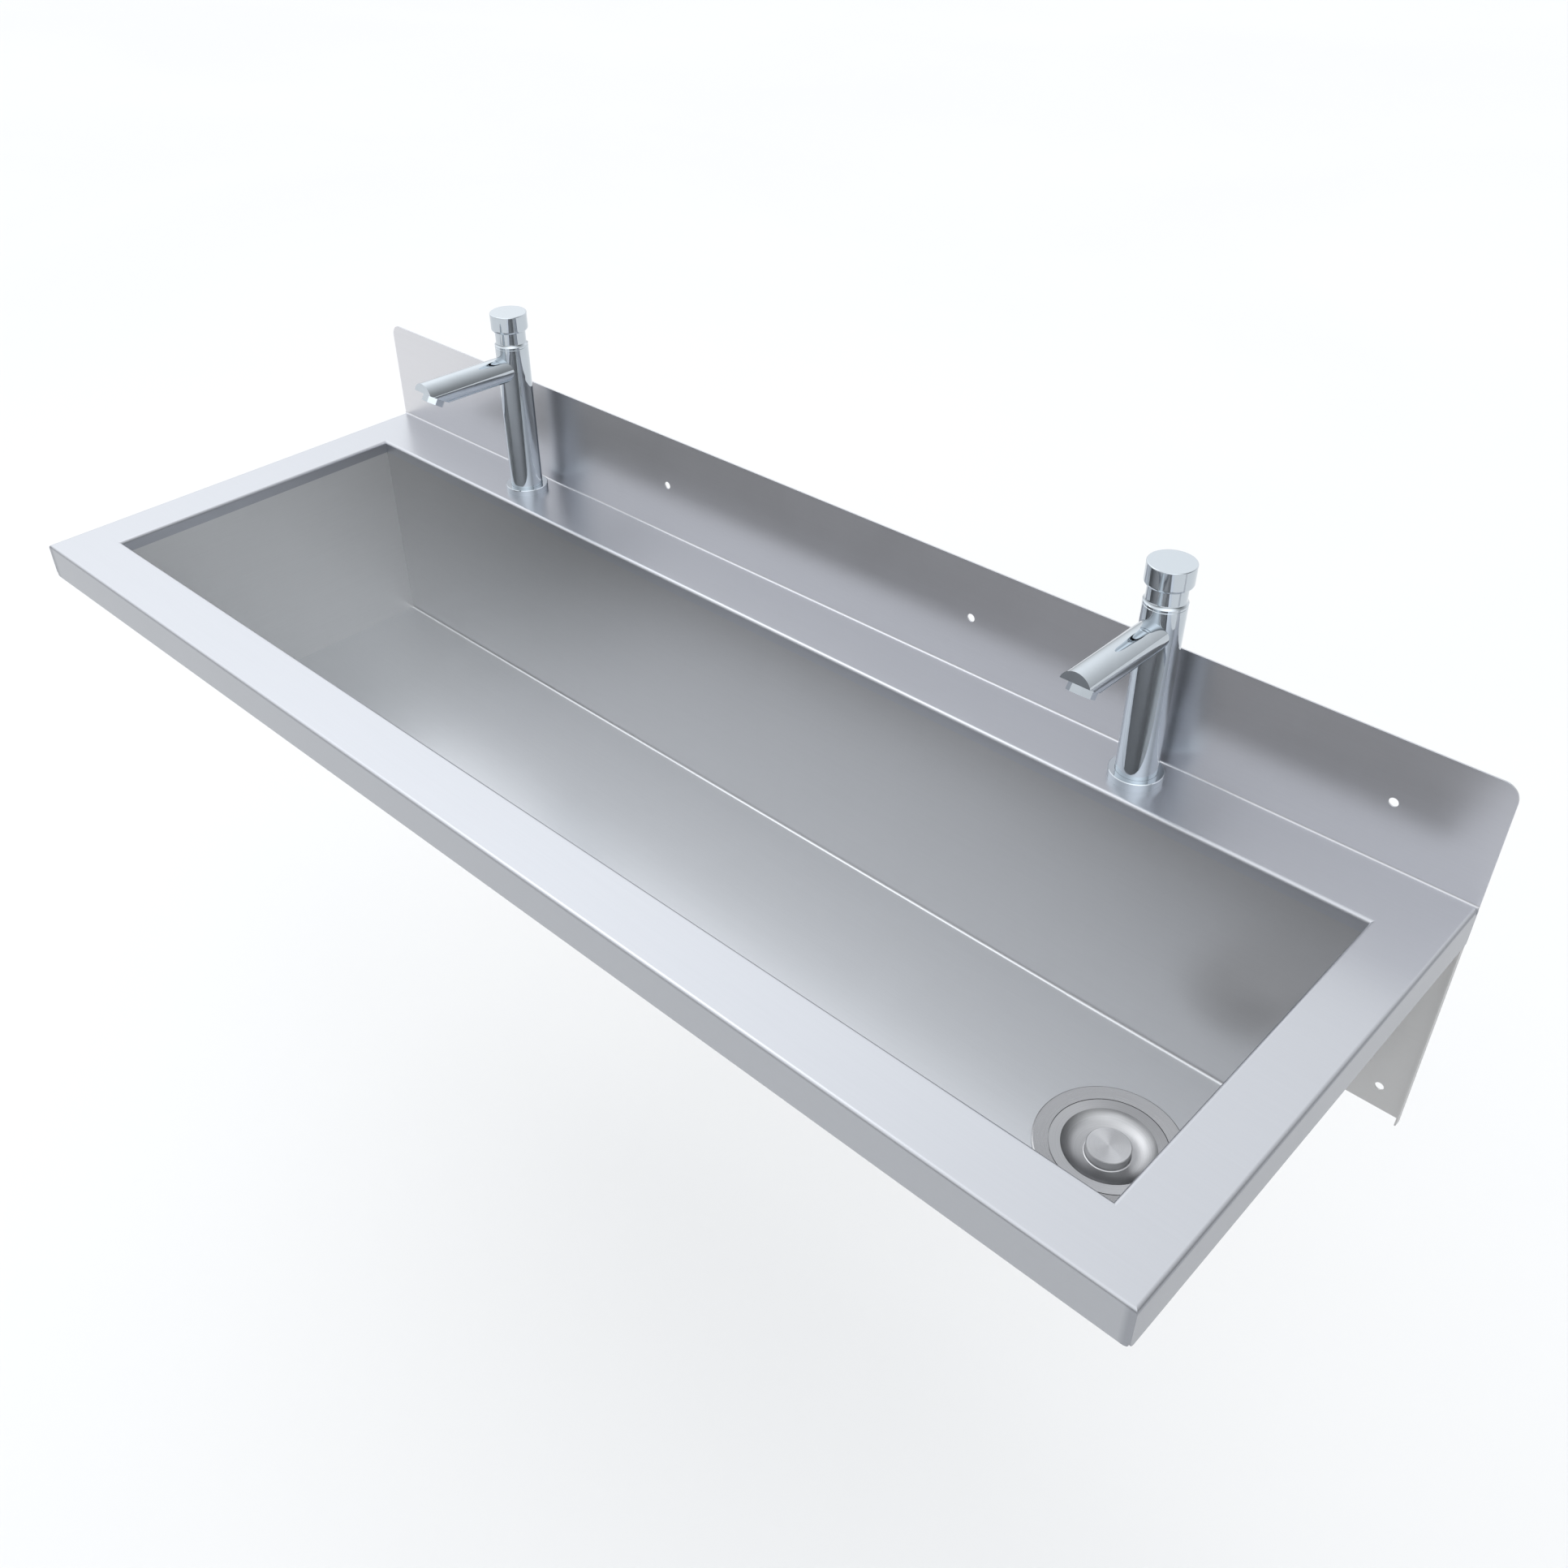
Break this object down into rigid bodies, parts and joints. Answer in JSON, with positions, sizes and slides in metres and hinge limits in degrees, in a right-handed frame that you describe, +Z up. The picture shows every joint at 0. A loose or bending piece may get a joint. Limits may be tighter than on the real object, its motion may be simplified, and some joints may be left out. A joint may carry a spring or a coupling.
{
  "type": "trough sink",
  "caption": "Wall-hung stainless trough sink with a low splashback, push-button pillar taps and a basket waste with a lift-out lid.",
  "frame": {"origin": "on the back face of the splashback, in the wall plane, midway along the row of splashback screw holes", "axes": "+X along the wall to the right as seen from the front, +Y into the wall, +Z up"},
  "size_m": [1.2, 0.416, 0.4834],
  "materials": {
    "rim_steel": "satin, brushed along the length",
    "basin_steel": "satin",
    "panel_steel": "mill finish, duller than the rim",
    "waste_steel": "pressed and polished",
    "basket_steel": "satin",
    "lid_steel": "spun, with fine rings",
    "tap_chrome": "bright plated",
    "fixing_steel": "plain",
    "spring_steel": "bright wire",
    "brass": "machined",
    "rubber": "matte",
    "plastic": "moulded"
  },
  "bodies": {
    "sink": {"top_sheet": "rim_steel", "basin_trough": "basin_steel", "basin_end_left": "basin_steel", "basin_end_right": "basin_steel", "rear_panel": "panel_steel", "tap_body_left": "tap_chrome", "tap_base_ring_left": "tap_chrome", "tap_base_seal_left": "rubber", "tap_shank_left": "brass", "tap_cartridge_left": "plastic", "tap_cartridge_seal_left": "rubber", "tap_bonnet_left": "tap_chrome", "tap_spring_left": "spring_steel", "tap_aerator_shell_left": "tap_chrome", "tap_aerator_insert_left": "plastic", "tap_body_right": "tap_chrome", "tap_base_ring_right": "tap_chrome", "tap_base_seal_right": "rubber", "tap_shank_right": "brass", "tap_cartridge_right": "plastic", "tap_cartridge_seal_right": "rubber", "tap_bonnet_right": "tap_chrome", "tap_spring_right": "spring_steel", "tap_aerator_shell_right": "tap_chrome", "tap_aerator_insert_right": "plastic", "tap_rubber_washers": "rubber", "tap_steel_washers": "fixing_steel", "tap_backnuts": "brass", "waste_body": "waste_steel", "waste_tail": "waste_steel", "waste_flange_seal": "rubber", "waste_gasket": "rubber", "waste_friction_ring": "plastic", "waste_clamp_nut": "fixing_steel"},
    "button_left": {"tap_button_left": "tap_chrome", "tap_plunger_left": "brass"},
    "button_right": {"tap_button_right": "tap_chrome", "tap_plunger_right": "brass"},
    "basket": {"strainer_basket": "basket_steel"},
    "lid": {"lid_dish": "lid_steel", "lid_knob": "lid_steel", "lid_screw": "fixing_steel"}
  },
  "joints": [
    {"name": "button_left_push", "type": "slide", "parent": "sink", "child": "button_left", "axis": [0, 0, -1], "range_m": [0, 0.007], "stiffness_N_per_m": 1500, "springref_m": -0.008, "deforming": ["tap_spring_left"]},
    {"name": "button_right_push", "type": "slide", "parent": "sink", "child": "button_right", "axis": [0, 0, -1], "range_m": [0, 0.007], "stiffness_N_per_m": 1500, "springref_m": -0.008, "deforming": ["tap_spring_right"]},
    {"name": "basket_lift", "type": "slide", "parent": "sink", "child": "basket", "axis": [0, 0, 1], "range_m": [0, 0.27]},
    {"name": "lid_lift", "type": "slide", "parent": "basket", "child": "lid", "axis": [0, 0, 1], "range_m": [0, 0.28]}
  ]
}
